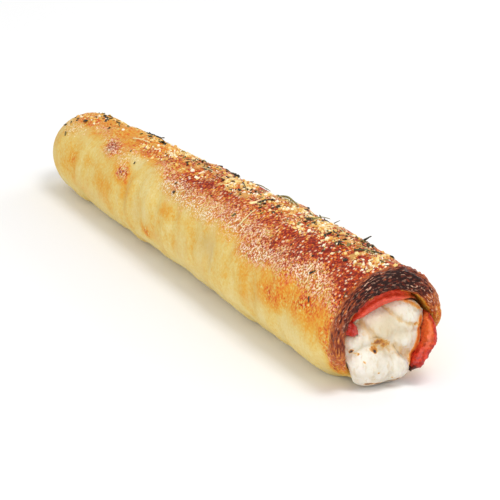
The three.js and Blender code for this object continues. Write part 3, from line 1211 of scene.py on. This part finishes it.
def cheese_mesh():
    """The melted cheese, with the values that its material reads."""
    grid, limit = cheese_plug()
    ahead = smooth(*PUSHED_OVER, grid[..., 0])
    pushed = pushed_out(grid, ahead)
    keep_in_bore(pushed, limit, ahead)
    normals = grid_normals(pushed)
    facing = smooth(0, 0.5, normals[..., 0]) * ahead
    relief, hollow = face_relief(pushed)
    pushed += normals * (relief * facing)[..., None]
    pushed[..., 2] = np.maximum(pushed[..., 2], 0.1)
    y, z = pushed[..., 1], pushed[..., 2]
    oiled = [strong * hump(line_distance(y, z, line), 0, wide) for line, wide, strong in OILED]
    fields = {
        "toast": np.max(spots(TOASTED, y, z), 0) * smooth(*TOASTED_OVER, pushed[..., 0]),
        "hollow": hollow * facing,
        "oil": np.max(oiled, 0),
        # painted shade on the upper face
        "painted_shade": 0.7 * hump(y, -1, 9) * hump(z, 23, 7),
    }
    start = [PLUG_BACK, pushed[0, :, 1].mean(), pushed[0, :, 2].mean()]
    return mesh_of_rings("mozzarella_melted", pushed, start, pushed[-1].mean(0), fields)


cheese = object_of("mozzarella_melted", cheese_mesh())
cheese.data.materials.append(cheese_material())

# ---------------------------------------------------------------- the toppings

# Clusters of herbs on the ridge: x, angle, reach along and round, and how thick they lie.
HERBS = [
    (28, 82, 6, 12, 1.0),
    (25, 106, 3, 6, 0.5),
    (46, 74, 4, 8, 0.35),
    (70, 78, 5, 8, 0.3),
    (108, 86, 9, 10, 0.7),
    (134, 91, 7, 9, 0.6),
    (153, 100, 6, 7, 0.9),
    (160, 87, 6, 8, 0.9),
    (178, 101, 8, 10, 0.5),
    (205, 90, 6, 9, 1.0),
    (228, 88, 9, 14, 0.7),
    (236, 97, 6, 7, 0.8),
    (240, 73, 8, 10, 0.7),
    (257, 80, 6, 9, 0.8),
    (190, 60, 14, 12, 0.5),
    (130, 62, 16, 12, 0.4),
    (60, 60, 14, 12, 0.3),
]

# How thick the crumbs and grains lie at places along the roll.
SHRED_X = [0, 14, 34, 40, 58, 68, 100, 125, 270]
SHRED_SHARE = [0.1, 0.9, 0.8, 0.12, 0.12, 0.6, 0.7, 1.0, 1.0]


def scatter_fields(mesh):
    """Where each topping may lie, as attributes of the dough. Its last two points are its ends."""
    x = np.concatenate([flat_x.ravel(), [0, 30]])
    angle = np.concatenate([flat_angle.ravel(), [90, 90]])
    outside = np.concatenate([(outer_skin * (from_front < -5)).ravel(), [0, 0]])
    points = points_of(mesh) / MM
    along = np.interp(x, SHRED_X, SHRED_SHARE)
    herbs = 0.025 * near(angle, RIDGE, 58, 26) + dabs(HERBS, x, angle)
    ridge = near(angle, 86, 26, 10)
    shreds = ridge * (0.1 + smooth(0.48, 0.64, noise(points, 5.5, 51))) * along
    grains = near(angle, 104, 50, 22) * along * (0.15 + smooth(0.4, 0.65, noise(points, 7, 52)))
    grains *= smooth(0.02, 0.3, values_of(mesh, "frost") + 0.3 * ridge)
    for name, thick in (("herbs", herbs), ("shreds", shreds), ("grains", grains)):
        set_field(mesh, name, thick * outside)


SCATTER_SIZES = ("Density", "Smallest", "Largest", "Tilt")
FULL_TURN = 6.283  # in radians
BEND_SIZE = 1.6  # mm over which a piece bends


def scatter_tree(name, pattern, size, vertices, curl_mm):
    """Lays small bent pieces at random on a surface, where the attribute `pattern` allows them."""
    tree, given, known_as = new_tree(name, SCATTER_SIZES, ["Seed"])
    where = {
        "Mesh": given["Geometry"],
        "Density": held(tree, pattern) * given["Density"],
        "Seed": given["Seed"],
    }
    method = "GeometryNodeDistributePointsOnFaces"
    spread = add(tree, method, where, distribute_method="RANDOM").outputs
    if vertices:
        box = {"Size": [s * MM for s in size]}
        box.update({"Vertices " + axis: count for axis, count in zip("XYZ", vertices)})
        piece = out(tree, "GeometryNodeMeshCube", box)
    else:
        ball = {"Radius": size[0] * MM / 2, "Subdivisions": 1}
        piece = out(tree, "GeometryNodeMeshIcoSphere", ball)

    def draw(low, high, offset):
        inputs = {2: low, 3: high, "Seed": given["Seed"] + float(offset)}
        return out(tree, "FunctionNodeRandomValue", inputs, 1, data_type="FLOAT")

    lean = given["Tilt"] * -1.0
    tilts = [draw(lean, given["Tilt"], 1), draw(lean, given["Tilt"], 2), draw(0.0, FULL_TURN, 3)]
    spin = out(tree, "FunctionNodeEulerToRotation", {0: joined(*tilts)})
    turned = {"Rotation": Value(tree, spread["Rotation"]), "Rotate By": spin}
    # Most pieces are small and a few are large.
    chance = calc("POWER", draw(0.0, 1.0, 4), 2.0)
    large = chance * (given["Largest"] - given["Smallest"]) + given["Smallest"]
    laid = {
        "Points": Value(tree, spread["Points"]),
        "Instance": piece,
        "Rotation": out(tree, "FunctionNodeRotateRotation", turned, rotation_space="LOCAL"),
        "Scale": joined(large * draw(0.7, 1.3, 5), large * draw(0.6, 1.2, 6), large),
    }
    pieces = out(tree, "GeometryNodeInstanceOnPoints", laid)
    pieces = stored(pieces, "tint", draw(0.0, 1.0, 7), "INSTANCE")
    real = out(tree, "GeometryNodeRealizeInstances", {0: pieces})
    close_tree(bent(real, BEND_SIZE, curl_mm), given["Material"])
    return tree, known_as


HERB = crumb_material(
    "dried_herb", 0.7, [(0.0, "17110a"), (0.5, "2f2610"), (0.8, "584a20"), (1.0, "8a7a40")]
)
HARD_CHEESE = crumb_material(
    "hard_cheese", 0.5, [(0.0, "e2a442"), (0.3, "f0c86a"), (0.6, "f7e09c"), (1.0, "fff8e2")]
)
GRAIN = crumb_material("pale_grain", 0.45, [(0.0, "e8b468"), (0.5, "f2d498"), (1.0, "fcf2dc")])
STALK = crumb_material(
    "dried_stalk", 0.6, [(0.0, "2a2612"), (0.4, "6b6630"), (0.7, "b5a45c"), (1.0, "ead9a4")]
)

# Each topping: slot, material, where it lies, size in mm, points each way (none is a ball), curl in mm.
TOPPINGS = {
    "herb_flakes": ("herb", HERB, "herbs", (2.1, 0.9, 0.24), (4, 3, 2), 0.28),
    "cheese_crumbs": ("grated_cheese", HARD_CHEESE, "shreds", (0.85,), None, 0.3),
    "cheese_shreds": ("grated_cheese", HARD_CHEESE, "shreds", (2.2, 0.6, 0.45), (5, 2, 2), 0.35),
    "semolina_grains": ("grain", GRAIN, "grains", (0.55,), None, 0.08),
}
# How it lies: pieces per square metre, smallest and largest share of its size, tilt in radians, seed.
SCATTERED = {
    "herb_flakes": (420000.0, 0.4, 1.4, 0.6, 3),
    "cheese_crumbs": (600000.0, 0.5, 2.2, 0.5, 5),
    "cheese_shreds": (140000.0, 0.5, 1.5, 0.4, 8),
    "semolina_grains": (520000.0, 0.4, 1.2, 0.5, 13),
}
scatter_fields(crust.data)
topping_pieces = []
for name, (slot, material, pattern, size, vertices, curl) in TOPPINGS.items():
    maker = scatter_tree(name + "_scatter", pattern, size, vertices, curl)
    values = {**dict(zip((*SCATTER_SIZES, "Seed"), SCATTERED[name])), "Material": material}
    mesh = grown(name, *maker, values, crust.data.copy())
    if not vertices:
        soften(mesh)
    topping_pieces.append((slot, object_of(name, mesh)))


def on_skin(x, angle, lift):
    """A point on the dough's skin, or above it."""
    ring = int(np.argmin(np.abs(profile[:rim_start, 1] - x)))
    column = int(round(angle / 360 * AROUND)) % AROUND
    point = crust_grid[ring, column]
    outward = point - np.array([point[0], 0, axis_height(x)])
    return point + outward / np.linalg.norm(outward) * lift


STALK_POINTS, STALK_SIDES = 11, 6
# Stalks that can be told apart: ends as (x, angle, lift), how high they arch, width and tint.
STALKS = [
    ((64.5, 100, 0.5), (74.7, 93, 0.6), 0.5, 0.55, 1.0),
    ((180.0, 131, 0.5), (178.9, 110, 0.9), 0.4, 0.6, 1.0),
    ((168.2, 70, 0.4), (184.0, 72, 0.4), 1.5, 1.0, 0.5),
    ((171.0, 78, 0.4), (187.0, 78, 0.3), 1.2, 0.45, 0.75),
    ((204.0, 84, 0.5), (201.0, 62, 1.6), 0.8, 0.6, 0.5),
    ((243.5, 93, 0.8), (250.0, 74, 0.9), 0.5, 0.85, 0.12),
    ((240.0, 86, 0.4), (252.0, 84, 0.5), 0.7, 0.5, 0.7),
    ((206.0, 66, 0.2), (207.6, 62, 2.4), 0.1, 0.5, 0.2),
    ((232.0, 68, 0.2), (233.0, 65, 2.8), 0.0, 0.9, 0.0),
    ((246.0, 152, 0.1), (247.5, 157, 0.2), 0.1, 0.7, 0.05),
    ((110.0, 80, 0.3), (118.0, 84, 0.6), 0.8, 0.5, 0.2),
    ((120.0, 92, 0.4), (129.0, 88, 0.4), 0.6, 0.5, 0.85),
    ((148.0, 84, 0.3), (157.0, 92, 0.4), 0.5, 0.5, 0.1),
    ((218.0, 78, 0.3), (226.0, 82, 0.9), 0.6, 0.45, 0.9),
    ((90.0, 74, 0.3), (97.0, 80, 0.4), 0.4, 0.45, 0.6),
    ((40.0, 84, 0.3), (46.0, 92, 0.4), 0.5, 0.5, 0.35),
    ((140.0, 58, 0.3), (149.0, 52, 0.4), 0.6, 0.5, 0.5),
    ((196.0, 48, 0.3), (204.0, 55, 0.4), 0.6, 0.5, 0.9),
]


def stalk_tree():
    """Turns each line of points into a thin tapered stalk, a little bent."""
    tree, given, known_as = new_tree("dried_stalks", (), ["Sides"])
    line = out(tree, "GeometryNodeMeshToCurve", {0: given["Geometry"]})
    taper = 1.0 - out(tree, "GeometryNodeSplineParameter") * 0.55
    size = {"Curve": line, "Radius": held(tree, "width") * taper}
    line = out(tree, "GeometryNodeSetCurveRadius", size)
    ring = out(tree, "GeometryNodeCurvePrimitiveCircle", {"Resolution": given["Sides"], "Radius": 0.5})
    body = {"Curve": line, "Profile Curve": ring, "Fill Caps": True}
    body["Scale"] = out(tree, "GeometryNodeInputRadius")
    close_tree(bent(out(tree, "GeometryNodeCurveToMesh", body), 2, 0.25), given["Material"])
    return tree, known_as


def stalk_lines():
    """A line of points for each stalk, with its width and tint."""
    points, edges, widths, tints = [], [], [], []
    for start, end, arch, width, tint in STALKS:
        first, last = on_skin(*start), on_skin(*end)
        for step, share in enumerate(np.linspace(0, 1, STALK_POINTS)):
            up = np.array([0, 0, arch * 4 * share * (1 - share)])
            if step:
                edges.append((len(points) - 1, len(points)))
            points.append(moved_to_frame(first + (last - first) * share + up))
            widths.append(width * MM)
            tints.append(tint)
    mesh = bpy.data.meshes.new("stalk_lines")
    mesh.from_pydata([p.tolist() for p in points], edges, [])
    set_field(mesh, "width", np.array(widths))
    set_field(mesh, "tint", np.array(tints))
    return mesh


stalk_look = {"Sides": STALK_SIDES, "Material": STALK}
stalk_mesh = grown("herb_stalks", *stalk_tree(), stalk_look, stalk_lines())
soften(stalk_mesh)
topping_pieces.append(("herb", object_of("herb_stalks", stalk_mesh)))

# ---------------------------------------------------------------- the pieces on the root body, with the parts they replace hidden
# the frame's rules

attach(crust, "root")
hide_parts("crust")
for node, piece in slices:
    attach(piece, "root")
    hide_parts(node)
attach(cheese, "root")
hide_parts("cheese")
for slot, piece in topping_pieces:
    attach(piece, "root")

# ---------------------------------------------------------------- floor, light and camera

FLOOR = 3  # half its width, in metres
floor_mesh = bpy.data.meshes.new("floor")
corners = [(-FLOOR, -FLOOR, 0), (FLOOR, -FLOOR, 0), (FLOOR, FLOOR, 0), (-FLOOR, FLOOR, 0)]
floor_mesh.from_pydata(corners, [], [(0, 1, 2, 3)])
floor = object_of("floor", floor_mesh)
floor_material = bpy.data.materials.new("pale_floor")
floor_material.use_nodes = True
floor_looks = {"Base Color": (0.93, 0.93, 0.93, 1), "Roughness": 0.9, "Specular IOR Level": 0.1}
fill(floor_material.node_tree.nodes["Principled BSDF"], floor_looks)
floor.data.materials.append(floor_material)

world = bpy.data.worlds.new("studio")
world.use_nodes = True
fill(world.node_tree.nodes["Background"], {"Color": (1, 1, 1, 1), "Strength": 0.72})
bpy.context.scene.world = world
bpy.context.scene.view_settings.view_transform = "Standard"


def area_light(name, place, size, watts):
    """A square lamp that points at the roll."""
    light = bpy.data.lights.new(name, "AREA")
    light.energy = watts
    light.size = size
    lamp = object_of(name, light)
    lamp.location = place
    lamp.rotation_mode = "QUATERNION"
    lamp.rotation_quaternion = (AIM - Vector(place)).to_track_quat("-Z", "Y")


AIM = Vector((0, 0, 0.02))
area_light("key_light", (0.6, 0.1, 1.2), 0.5, 6.5)
area_light("fill_light", (1.2, -1.1, 0.45), 1.1, 8.5)
area_light("back_light", (-0.5, 1.2, 0.6), 0.6, 4)

# The photograph's view: azimuth and elevation in radians, distance and target in metres.
AZIMUTH, ELEVATION, DISTANCE = 1.12349, 0.32241, 1.72749
TARGET = Vector((0, 0, 0.019))
PAN, TILT = 0.00585, -0.00462
FOCAL_PIXELS, FRAME_PIXELS = 4704.9, 500
SENSOR = 36


def swung(first, second, angle):
    """Two axes turned in their own plane."""
    cosine, sine = math.cos(angle), math.sin(angle)
    return cosine * first - sine * second, sine * first + cosine * second


right = Vector((math.cos(AZIMUTH), math.sin(AZIMUTH), 0))
level = Vector((math.sin(AZIMUTH), -math.cos(AZIMUTH), 0))
back = level * math.cos(ELEVATION) + Vector((0, 0, math.sin(ELEVATION)))
up = back.cross(right)
right, ahead = swung(right, -back, PAN)
up, ahead = swung(up, ahead, TILT)
camera_data = bpy.data.cameras.new("camera")
camera_data.sensor_width = SENSOR
camera_data.lens = FOCAL_PIXELS / FRAME_PIXELS * SENSOR
camera_data.clip_start = 0.05
camera_data.clip_end = 20
camera = object_of("camera", camera_data)
turned = Matrix((right, up, -ahead)).transposed().to_4x4()
camera.matrix_world = Matrix.Translation(TARGET + back * DISTANCE) @ turned
bpy.context.scene.camera = camera
